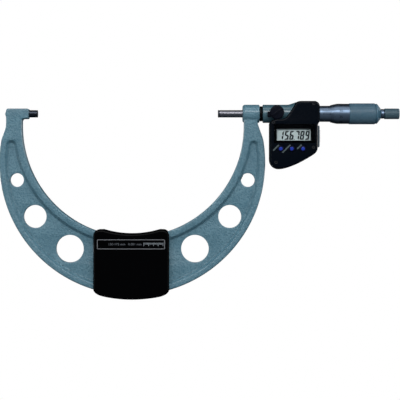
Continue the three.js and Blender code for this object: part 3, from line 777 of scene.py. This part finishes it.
def shieldMesh(name, side):
    half, room = shield["half"], shield["room"]
    isFront = side < 0
    order = (lambda a, b: (-b, -a)) if isFront else (lambda a, b: (a, b))
    edges = (shield["edge"], 0.3) if isFront else (0.3, shield["edge"])
    slab = slabMesh(name, shieldOutline(), *order(0.15, half), *edges, 6)
    inner, outer = grown(bow["inner"], -room), grown(bow["outer"], room)
    innerStep = grown(bow["inner"], bow["innerRim"] + shield["rimStep"])
    outerStep = grown(bow["outer"], -bow["outerRim"] - shield["rimStep"])
    deep, shallow = bow["half"] + room, bow["web"] + room
    cuts = [band("web", inner, outer, order(-1, shallow)),
            band("innerRim", inner, innerStep, order(-1, deep)),
            band("outerRim", outerStep, outer, order(-1, deep))]
    for x, z, _ in bow["screwHoles"]:
        cuts.append(pegMesh("screwHole", x, z, 1.6, *order(0, 8.4 if isFront else 12)))
        if not isFront:
            cuts.append(pegMesh("screwSeat", x, z, 3.1, 8.3, 12))
    if isFront:
        cuts.append(slabMesh("plateRecess", soften(plateOutline(0.25), 1.2), -11, plateSpan[1][1]))
    return combine(slab, cuts=cuts)


plateSpan = span("nameplate")
plate = {"corner": 1.0, "margin": 0.15, "line": 0.62, "print": -10.25, "words": 2.9, "rangeAt": 17.3,
         "stepAt": 33.0, "rulerAt": 40.5, "tick": 0.34, "tickStep": 1.03, "ticks": 17, "tickHalf": 1.4}


def plateOutline(grow=0.0):
    (x0, x1), _, (z0, z1) = plateSpan
    return [(x0 - grow, z0 - grow), (x1 + grow, z0 - grow), (x1 + grow, z1 + grow), (x0 - grow, z1 + grow)]


def nameplate():
    outline = soften(plateOutline(), plate["corner"], 6)
    y0, y1 = plateSpan[1]
    back = slabMesh("nameplate", outline, y0 + 0.04, y1)
    finishPiece("nameplate", back, "shieldPlastic", "frame", ["nameplate"])
    first, second = inset(outline, plate["margin"]), inset(outline, plate["margin"] + plate["line"])
    y = plate["print"]
    rings = [[(a, b, c) for a, c in loop]
             for loop, b in ((first, y + 0.05), (first, y), (second, y), (second, y + 0.05))]
    border = ringSolid("plateBorder", [rings + [rings[0]]], [])
    finishPiece("plateBorder", border, "printSilver", "frame")
    middle, left = middleOf(plateSpan[2]), plateSpan[0][0]
    words = [printed(name, text, plate["words"], left + plate[name + "At"], middle, y + 0.02)
             for name, text in (("range", "150-175 mm"), ("step", "0.001 mm"))]
    finishPiece("plateWords", joinMeshes("plateWords", words), "printDim", "frame")
    wide, half = plate["tick"], plate["tickHalf"]
    ruler = []
    for i in range(plate["ticks"]):
        x = left + plate["rulerAt"] + i * plate["tickStep"]
        low, high = middle - (half if i % 4 == 0 else 0.2), middle + half
        outline = [(x, low), (x + wide, low), (x + wide, high), (x, high)]
        ruler.append(slabMesh("tick", outline, y, y + 0.05))
    finishPiece("plateRuler", joinMeshes("plateRuler", ruler), "printWhite", "frame")


def screws(name, nodes, places, turn, headRadius, headDepth, shankRadius, shankLength, recess):
    made = grow(name, "screws", places, Turn=turn, Headradius=headRadius, Headdepth=headDepth,
                Shankradius=shankRadius, Shanklength=shankLength, Recess=recess)
    finishPiece(name, made, "screwSteel", "frame", list(nodes))


for name, node, side in (("heatShieldFront", "heat_shield_front", -1),
                         ("heatShieldRear", "heat_shield_rear", 1)):
    finishPiece(name, shieldMesh(name, side), "shieldPlastic", "frame", [node])
nameplate()
quarter = math.radians(90)
screwBack = span("shield_screw_left")[1][1]
places = [(x, screwBack - 0.75, z) for x, z, _ in bow["screwHoles"]]
screws("shieldScrews", ["shield_screw_left", "shield_screw_right"], places, (quarter, 0, 0),
       2.8, 1.5, 1.25, 15.0, 1.1)
print("shields, nameplate and screws made")


# the head: neck, swelling barrel, lock pad and the plate inside the display unit

head = {"neck": 7.9, "spigot": 5.6, "rise": (216.8, 227.0), "barrel": 10.4, "bore": 3.5, "bay": (224.5, 9.3),
        "pad": 5.2, "lockHole": 2.5, "shoulder": 195.7, "plate": (-2.2, -0.6)}
headSpan = span("head_body")


def riseProfile(grow=0.0):   # the S-shaped swelling from the neck to the barrel
    (a, b), low, high = head["rise"], head["neck"] + grow, head["barrel"] + grow
    return bend(14, (a, low), (a + 3, low), (b - 3, high), (b, high))


def headRoom(name):
    room = 0.3
    return turnedMesh(name, [(180, 0), (180, head["neck"] + room), *riseProfile(room),
                             (250, head["barrel"] + room), (250, 0)])


lockSpan = span("lock_knob")
lock = {"x": lockSpan[0][1] - 6.1, "z": middleOf(lockSpan[2]), "r": 6.1, "edge": 0.9, "shaft": 2.2,
        "back": -8.7, "foot": -5.9, "nub": 8.2, "nubSpan": (-4.2, 0.6), "ridge": 4.5, "lean": -38}


def headMesh():
    start, end = headSpan[0]
    spigot, neck, top = head["spigot"], head["neck"], head["barrel"]
    low = soften([(start, 0), (start, spigot), (head["shoulder"], spigot), (head["shoulder"], neck),
                  (head["rise"][0], neck)], 0.6, 3, False)
    high = soften([(head["rise"][1] + 1, top), (end, top), (end, 0)], 0.8, 4, False)
    outside = turnedMesh("headBody", low + riseProfile()[1:] + high, 112)
    corners = [(203.9, -2), (203.9, -39.5), (205.8, -43.6), (209.6, -45.7), (214, -45.1), (236, -34.6),
               (240.3, -29.5), (240.3, -2)]
    bay, wide = head["bay"]
    inside = turnedMesh("headBore", [(180, 0), (180, head["bore"]), (bay, head["bore"]), (bay, wide),
                                     (250, wide), (250, 0)], 72)
    return combine(outside, [pegMesh("lockPad", lock["x"], lock["z"], head["pad"], -8.3, 0, 64),
                             slabMesh("chassis", corners, *head["plate"])],
                   [inside, pegMesh("lockHole", lock["x"], lock["z"], head["lockHole"], -10, 0)])


finishPiece("headBody", headMesh(), "bodyPaint", "frame", ["head_body"])
roundPiece("headCollar", "head_collar", 6.55, 5.9, "rubberBlack", soft=0.25)
roundPiece("spindleWiper", "spindle_wiper", 5.6, 3.45, "rubberBlack", segments=80)
print("head made")


# the display unit's two covers

cover = {"front": -14.0, "back": 11.0, "parting": 0.15, "wall": 1.8, "face": 2.2, "edge": 1.8,
         "belly": (209.9, -48.05), "corner": 8.3, "sides": (201.6, 242.6, 10.35)}
window, view = span("lcd_window"), {"x": (207.3, 236.5), "z": (-23.8, -13.8)}
buttonNodes = ("hold_button", "zero_button", "origin_button")
buttonSpans = [span(node) for node in buttonNodes]
buttonZ = middleOf(buttonSpans[0][2])
screwNodes = ["cover_screw_" + place for place in ("upper_left", "lower_left", "lower_right", "upper_right")]
screwSpans = [span(node) for node in screwNodes]


def coverOutline():
    left, right, top = cover["sides"]
    belly, corner = cover["belly"], cover["corner"]
    swoosh = bend(22, (212.7, -4.9), (218, -3.2), (221.1, 5.6), (223.9, 8.9))
    brow = bend(10, (223.9, 8.9), (225.5, top), (228.5, top))
    edge = soften([(228.5, top), (240.8, top), (243.2, 9), (244.5, 6.6), (244.5, -7.2), (right, -9.8),
                   (right, -29.8)], 2.4, 5, False)
    elbow = bend(10, (right, -29.8), (right, -33.2), (239.5, -35.5))
    keel = bend(24, (239.5, -35.5), (231, -41.2), (218.5, belly[1]), belly)
    hip = bend(8, (left, -9.4), (left, -6.6), (203.6, -6.2))
    hip += bend(8, (203.6, -6.2), (206.5, -4.4), swoosh[0])[1:]
    clockwise = (arc(belly[0], belly[1] + corner, corner, 270, 180, 24) + hip + swoosh[1:] + brow[1:]
                 + edge[1:] + elbow[1:] + keel[1:-1])
    return clockwise[::-1]


def frontCover():
    outline, front, parting = coverOutline(), cover["front"], cover["parting"]
    cavity = slabMesh("cavity", inset(outline, cover["wall"]), front + cover["face"], 4)
    cuts = [cavity, headRoom("headRoom"),
            boxMesh("windowSeat", (window[0][0] - 0.25, window[0][1] + 0.25),
                    (front - 1, window[1][1] + 0.05), (window[2][0] - 0.25, window[2][1] + 0.25), 0.5),
            boxMesh("viewHole", view["x"], (front - 1, 0), view["z"]),
            pegMesh("lockRoom", lock["x"], lock["z"], lock["r"] + 0.3, -20, 0, 72),
            boxMesh("portHole", (240, 250), (-9.3, -3.7), (-25.3, -14.7))]
    cuts += [pegMesh("buttonHole", middleOf(spot[0]), buttonZ, 2.9, -20, -10) for spot in buttonSpans]
    cuts += [pegMesh("screwSeat", middleOf(x), middleOf(z), 1.8, -20, front + 1) for x, _, z in screwSpans]
    slab = slabMesh("displayCover", outline, front, -parting, cover["edge"], 0.25, 6)
    return combine(slab, cuts=cuts)


cap = {"r": 7.0, "hole": 7.3, "seat": 8.6, "lug": 8.4, "entry": 60, "groove": (6.3, 5.9)}
capSpan = span("battery_cap")
capX, capZ = middleOf(capSpan[0]), middleOf(capSpan[2])


def rearCoverMesh():
    outline, back, parting = coverOutline(), cover["back"], cover["parting"]
    slab = slabMesh("rearCover", outline, parting, back, 0.25, cover["edge"], 6)
    cavity = slabMesh("cavity", inset(outline, cover["wall"]), -2, back - 2)
    lugRoom = boxMesh("lugRoom", (-cap["lug"], cap["lug"]), (capSpan[1][0], 12), (-1.6, 1.6))
    turn = Matrix.Rotation(math.radians(cap["entry"]), 4, "Y")
    lugRoom.transform(Matrix.Translation((capX, 0, capZ)) @ turn)
    shell = combine(slab, cuts=[cavity])
    return combine(shell, [pegMesh("cellWall", capX, capZ, 9.9, 0.8, back - 1.5, 72)], [
        boxMesh("above", (190, 260), (-20, 20), (-5.5, 20)),
        headRoom("headRoom"),
        pegMesh("cellRoom", capX, capZ, 6.1, 0, 12, 72),
        pegMesh("capSeat", capX, capZ, cap["seat"], 6.1, back - 2, 72),
        pegMesh("capHole", capX, capZ, cap["hole"], 6.1, 12, 72),
        lugRoom])


finishPiece("displayCover", frontCover(), "coverPlastic", "frame", ["display_cover"])
finishPiece("rearCover", rearCoverMesh(), "coverPlastic", "frame", ["rear_cover"])


def batteryCap():   # the lugs stand across the cap, the slot takes a coin
    (front, back), at = capSpan[1], (capX, capZ)
    disc = turnedMesh("batteryCap", tube((front, back), cap["r"]), 96, "y", at, 0.5)
    lugs = boxMesh("lugs", capSpan[0], (front, front + 1), (capZ - 1.3, capZ + 1.3))
    slot = boxMesh("slot", (capX - 5, capX + 5), (back - 1, 13), (capZ - 0.7, capZ + 0.7))
    ring = turnedMesh("groove", tube((back - 0.35, 13), *cap["groove"]), 96, "y", at)
    whole = combine(disc, [lugs], [slot, ring])
    finishPiece("batteryCap", whole, "coverPlastic", "battery_cap", ["battery_cap"])


batteryCap()
screws("coverScrews", screwNodes, [(middleOf(x), y[0] + 0.05, middleOf(z)) for x, y, z in screwSpans],
       (-quarter, 0, 0), 1.5, 0.9, 0.8, 8.2, 0.62)
print("covers made")


# window, display and buttons

def displayWindow():
    (x0, x1), (y0, y1), (z0, z1) = window
    outline = soften([(x0, z0), (x1, z0), (x1, z1), (x0, z1)], 0.5)
    finishPiece("lcdWindow", slabMesh("lcdWindow", outline, y0, y0 + 0.55, 0.12, 0), "displayGlass", "frame",
                ["lcd_window"])
    mask = combine(slabMesh("windowMask", outline, y0 + 0.6, y1),
                   cuts=[boxMesh("opening", view["x"], (-20, 0), view["z"])])
    finishPiece("windowMask", mask, "windowBlack", "frame")


panel = span("lcd_panel")
digits = {"text": "156789", "centres": (211.4, 216.0, 220.3, 225.1, 229.3, 233.7), "low": -23.1,
          "high": -15.5, "width": 3.5, "stroke": 1.25, "lean": 0.15, "gap": 0.07, "dot": (222.1, -22.7),
          "unit": (234.3, -14.4)}
litBars = {"1": "bc", "5": "afgcd", "6": "afgecd", "7": "abc", "8": "abcdefg", "9": "abcdfg"}


def barOutline(kind, w, h, t):   # one bar of a digit about its lower left corner
    g = digits["gap"]
    tip, near, far = g * 1.4, t + g, w - t - g
    if kind == "a":
        return [(w - tip, h), (tip, h), (near, h - t), (far, h - t)]
    if kind == "d":
        return [(tip, 0), (w - tip, 0), (far, t), (near, t)]
    if kind == "g":
        z, point = h / 2, t * 0.2 + g
        low, high = z - t / 2, z + t / 2
        return [(point, z), (near, low), (far, low), (w - point, z), (far, high), (near, high)]
    top = kind in "bf"
    z0, z1 = (h / 2 + g, h - g) if top else (g, h / 2 - g)
    inner0, inner1 = (z0 + t * 0.4, z1 - t) if top else (z0 + t, z1 - t * 0.4)
    side = [(0, z0), (t, inner0), (t, inner1), (0, z1)]
    if kind in "bc":
        side = [(w - x, z) for x, z in side][::-1]
    return side


def displayPanel():
    finishPiece("lcdPanel", boxMesh("lcdPanel", *panel), "displayGrey", "frame", ["lcd_panel"])
    ink = (panel[1][0] - 0.05, panel[1][0] - 0.01)
    w, h, lean = digits["width"], digits["high"] - digits["low"], digits["lean"]
    bars = []
    for figure, centre in zip(digits["text"], digits["centres"]):
        for kind in litBars[figure]:
            outline = [(centre - w / 2 + x + (z - h / 2) * lean, digits["low"] + z)
                       for x, z in barOutline(kind, w, h, digits["stroke"])]
            bars.append(slabMesh("bar", outline, *ink))
    x, z = digits["dot"]
    dot = [(x, z - 0.4), (x + 0.7, z - 0.4), (x + 0.8, z + 0.3), (x + 0.1, z + 0.3)]
    bars.append(slabMesh("dot", dot, *ink))
    bars.append(printed("unit", "mm", 1.5, *digits["unit"], panel[1][0] - 0.02, 0.03))
    finishPiece("lcdDigits", joinMeshes("lcdDigits", bars), "digitBlack", "frame")


labels = {"half": 0.62, "proud": 0.03, "ends": (
    ((204.2, -32.4), (209.0, -27.6)), ((212.1, -34.2), (219.0, -27.5)), ((224.8, -31.0), (228.6, -27.4)))}


def buttonLabels():   # plain slanting stripes beside the buttons
    stripes = []
    for ends in labels["ends"]:
        a, b = Vector(ends[0]), Vector(ends[1])
        side = (b - a).normalized().orthogonal() * labels["half"]
        stripes.append(slabMesh("stripe", [tuple(c) for c in (a - side, b - side, b + side, a + side)],
                                cover["front"] - labels["proud"], cover["front"] + 0.1))
    finishPiece("buttonLabels", joinMeshes("buttonLabels", stripes), "labelGrey", "frame")


def button(node, spot):
    at, (y0, y1), body = (middleOf(spot[0]), buttonZ), spot[1], nodeBody[node]
    profile = [(y0 + 0.35, 0), (y0 + 0.2, 1.6), (y0 + 0.2, 2.1), (y0 + 0.6, 2.65), (-11.4, 2.65),
               (-11.4, 3.4), (-10.5, 3.4), (-10.5, 1.2), (y1, 1.2), (y1, 0)]
    finishPiece(body + "Rim", turnedMesh(node, profile, 64, "y", at, 0.2), "buttonDark", body, [node])
    dome = [(y0 + 0.5, 0), (y0 + 0.5, 1.62), (y0 + 0.3, 1.62), (y0 + 0.12, 1.5), (y0 + 0.02, 1.1),
            (y0, 0.5), (y0, 0)]
    finishPiece(body + "Dot", turnedMesh(node, dome, 64, "y", at), "buttonBlue", body)


displayWindow()
displayPanel()
buttonLabels()
for node, spot in zip(buttonNodes, buttonSpans):
    button(node, spot)
print("display and buttons made")


# data port cap: ribbed, held by two screws

portSpan = span("port_cap")
portScrewNodes = ("port_screw_upper", "port_screw_lower")
portScrews = [span(node) for node in portScrewNodes]


def portCap():
    (x0, x1), (y0, y1), (z0, z1) = portSpan
    block = boxMesh("portCap", (x0, x1 - 0.5), (y0, y1), (z0, z1), 0.4)
    seats = []
    for spot in portScrews:
        seat = bore("seat", x1 - 1.1, x1 + 1, 1.6, 40)
        seat.transform(Matrix.Translation((0, middleOf(spot[1]), middleOf(spot[2]))))
        seats.append(seat)
    finishPiece("portCap", combine(block, cuts=seats), "capGrey", "frame", ["port_cap"])
    low, high, count, half = z0 + 4.4, z1 - 4.4, 11, 0.28
    rows = [low + i * (high - low) / (count - 1) for i in range(count)]
    ribs = [boxMesh("rib", (x1 - 0.7, x1), (y0 + 0.5, y1 - 0.5), (z - half, z + half), 0.12) for z in rows]
    finishPiece("portRibs", joinMeshes("portRibs", ribs), "capGrey", "frame")
    places = [(x1 - 0.15, middleOf(y), middleOf(z)) for _, y, z in portScrews]
    screws("portScrews", portScrewNodes, places, (0, -quarter, 0), 1.3, 0.5, 0.7, 3.9, 0.45)


portCap()
print("data port made")


# spindle lock

def lockKnob():
    x, z, r, shaft, back, foot = (lock[key] for key in ("x", "z", "r", "shaft", "back", "foot"))
    front = lockSpan[1][0]
    face = front + 0.7
    profile = soften([(face, 0), (face, r), (back, r), (back, shaft), (foot, shaft), (foot, 0)],
                     lock["edge"], 5, False)
    disc = turnedMesh("lockKnob", profile, 96, "y", (x, z))
    low, high = lock["nubSpan"]
    nub = boxMesh("nub", (x - lock["nub"], x - 5), (face + 1.1, -9.1), (z + low, z + high), 0.6)
    ridge = boxMesh("ridge", (-lock["ridge"], lock["ridge"]), (front, face + 0.6), (-0.95, 0.95), 0.45)
    ridge.transform(Matrix.Translation((x, 0, z)) @ Matrix.Rotation(math.radians(lock["lean"]), 4, "Y"))
    finishPiece("lockKnob", combine(disc, [nub, ridge]), "knobPlastic", "lock_knob", ["lock_knob"])


lockKnob()
print("lock made")


# sleeve and thimble, with their scales; angles go up from the front

scale = {"reading": 156.789, "lowest": 150, "pitch": 0.5, "sleeveRadius": 6.95, "index": 6.0, "start": 254.5,
         "taperEnd": 260.2, "edgeRadius": 7.45, "radius": 8.72, "gripStart": 270.7, "divisions": 50,
         "sunk": 0.03, "height": 0.06, "line": 0.28, "arc": 18.0, "tick": 1.2}
sleeveSpan = span("graduated_sleeve")[0]


def sleeve():
    r, index, count = scale["sleeveRadius"], scale["index"], 26
    line, reach, sunk = scale["line"], scale["arc"], scale["sunk"]
    start, end = sleeveSpan
    finishPiece("graduatedSleeve", turnedMesh("graduatedSleeve", tube((start, end), r, 6.35), 128),
                "satinChrome", "frame", ["graduated_sleeve"])
    first = scale["start"] + scale["lowest"] - scale["reading"]

    def ruled(name, many, x, angle, wide, high, longer=1.0):
        return grow(name, "marks", Count=many, Start=(x, angle, 0.0), Step=(1.0, 0.0, 0.0),
                    Size=(wide, high, scale["height"]), Longevery=5, Longer=(1.0, longer, 1.0),
                    Startradius=r - sunk, Endradius=r - sunk, Finish=materials["engraving"])

    marks = [ruled("upperMarks", count, first - line / 2, index, line, reach, 1.5),
             ruled("lowerMarks", count - 1, first + scale["pitch"] - line / 2, index - reach, line, reach),
             ruled("indexLine", 1, start + 0.6, index - 0.6, first + 25.5 - start, 1.2)]
    figures = [rolledText("figure", str(i), 2.6, first + i, index + 42.0, r) for i in range(0, count, 5)]
    finishPiece("sleeveScale", joinMeshes("sleeveScale", marks + figures), "engraving", "frame")


def thimbleBody():
    start, taper, grip, r = scale["start"], scale["taperEnd"], scale["gripStart"], scale["radius"]
    count, tick, edge = scale["divisions"], scale["tick"], scale["edgeRadius"]
    end = span("thimble")[0][1]
    profile = [(start, 7.2), (start, edge), (taper, r), (grip, r), (grip, 8), (end, 8), (end, 3.5),
               (291.3, 3.5), (291.3, 7.2)]
    finishPiece("thimble", turnedMesh("thimble", profile, 128), "satinChrome", "spindle", ["thimble"])
    step = 360 / count
    zero = scale["index"] - scale["reading"] % scale["pitch"] * 100 * step
    marks = grow("thimbleMarks", "marks", Count=count, Start=(start + 0.15, zero - tick / 2, 0.0),
                 Step=(0.0, step, 0.0), Size=(2.7, tick, scale["height"]), Longevery=5,
                 Longer=(1.6, 1.0, 1.0), Conestart=start, Coneend=taper, Startradius=edge - scale["sunk"],
                 Endradius=r - scale["sunk"], Finish=materials["engraving"])
    figures = [rolledText("figure", str(i), 3.0, 263.2, zero + i * step, r) for i in range(0, count, 5)]
    finishPiece("thimbleScale", joinMeshes("thimbleScale", [marks, *figures]), "engraving", "spindle")


sleeve()
thimbleBody()
print("scales made")


# grip, end cap and ratchet, with fine straight ribs

def ribbed(name, node, profile, count, radius, ends, look, body, height=0.1):
    core = turnedMesh(name, profile, 128, soft=0.25)
    ribs = grow(name + "Ribs", "marks", Count=count, Start=(ends[0], 0.0, 0.0), Step=(0.0, 360 / count, 0.0),
                Size=(ends[1] - ends[0], 180 / count, height + 0.05), Longevery=count,
                Conestart=ends[0], Coneend=ends[1], Startradius=radius - 0.05, Endradius=radius - 0.05,
                Finish=materials[look])
    finishPiece(name, core, look, body, [node])
    finishPiece(name + "Ribs", ribs, look, body)


hold = {"gripR": 9.0, "gripBore": 8.3, "gripRibs": 120, "knobR": 4.5, "knobBore": 1.95, "knobHollow": 3.7,
        "knobFloor": 1.7, "knobRibs": 60, "knobRibHeight": 0.13, "capBore": 3.5, "capSeat": 1.9}
grip, knob = span("thimble_grip")[0], span("ratchet_knob")[0]
ribbed("thimbleGrip", "thimble_grip", tube(grip, hold["gripR"], hold["gripBore"]), hold["gripRibs"],
       hold["gripR"], (grip[0] + 0.5, grip[1] - 0.5), "gripPaint", "spindle")
capProfile = [(293.6, hold["capBore"]), (293.6, 8.6), (295.1, 8.6), (298.1, 4.8), (298.1, hold["capSeat"]),
              (296.4, hold["capSeat"]), (296.4, hold["capBore"])]
finishPiece("thimbleCap", turnedMesh("thimbleCap", capProfile, 128, soft=0.3), "gripPaint", "spindle",
            ["thimble_cap"])
roundPiece("ratchetNeck", "ratchet_neck", 4.15, 1.9, "satinChrome", "spindle", soft=0.5)
knobProfile = [(knob[0], hold["knobBore"]), (knob[0], hold["knobR"]), (knob[1], hold["knobR"]),
               (knob[1], hold["knobHollow"]), (knob[0] + hold["knobFloor"], hold["knobHollow"]),
               (knob[0] + hold["knobFloor"], hold["knobBore"])]
ribbed("ratchetKnob", "ratchet_knob", knobProfile, hold["knobRibs"], hold["knobR"],
       (knob[0] + 0.6, knob[1] - 0.6), "ratchetPaint", "ratchet", hold["knobRibHeight"])
start, end = span("ratchet_screw")[0]
screw = turnedMesh("ratchetScrew", [(start, 0), (start, 1.6), (311.6, 1.6), (311.6, 3), (end, 3), (end, 0)],
                   64, soft=0.2)
finishPiece("ratchetScrew", combine(screw, cuts=[bore("socket", end - 1, end + 1, 1.2, 6)]), "groundSteel",
            "spindle", ["ratchet_screw"])
start, end = span("spindle")[0]
rod = turnedMesh("spindle", [(start, 0), (start, faceRadius), (262, faceRadius), (262.8, 4), (288, 4),
                             (288.8, 3.2), (end, 3.2), (end, 0)], soft=0.12)
finishPiece("spindle", combine(rod, cuts=[boxMesh("keyway", (211.5, 241.5), (-5, -1.9), (-1.15, 1.15)),
                                          bore("screwHole", 290.4, 300, 1.9, 48)]),
            "groundSteel", "spindle", ["spindle"])
roundPiece("spindleFace", "spindle_tip", faceRadius, 0, "greyCarbide", "spindle", soft=0.15)
print("spindle and ratchet made")
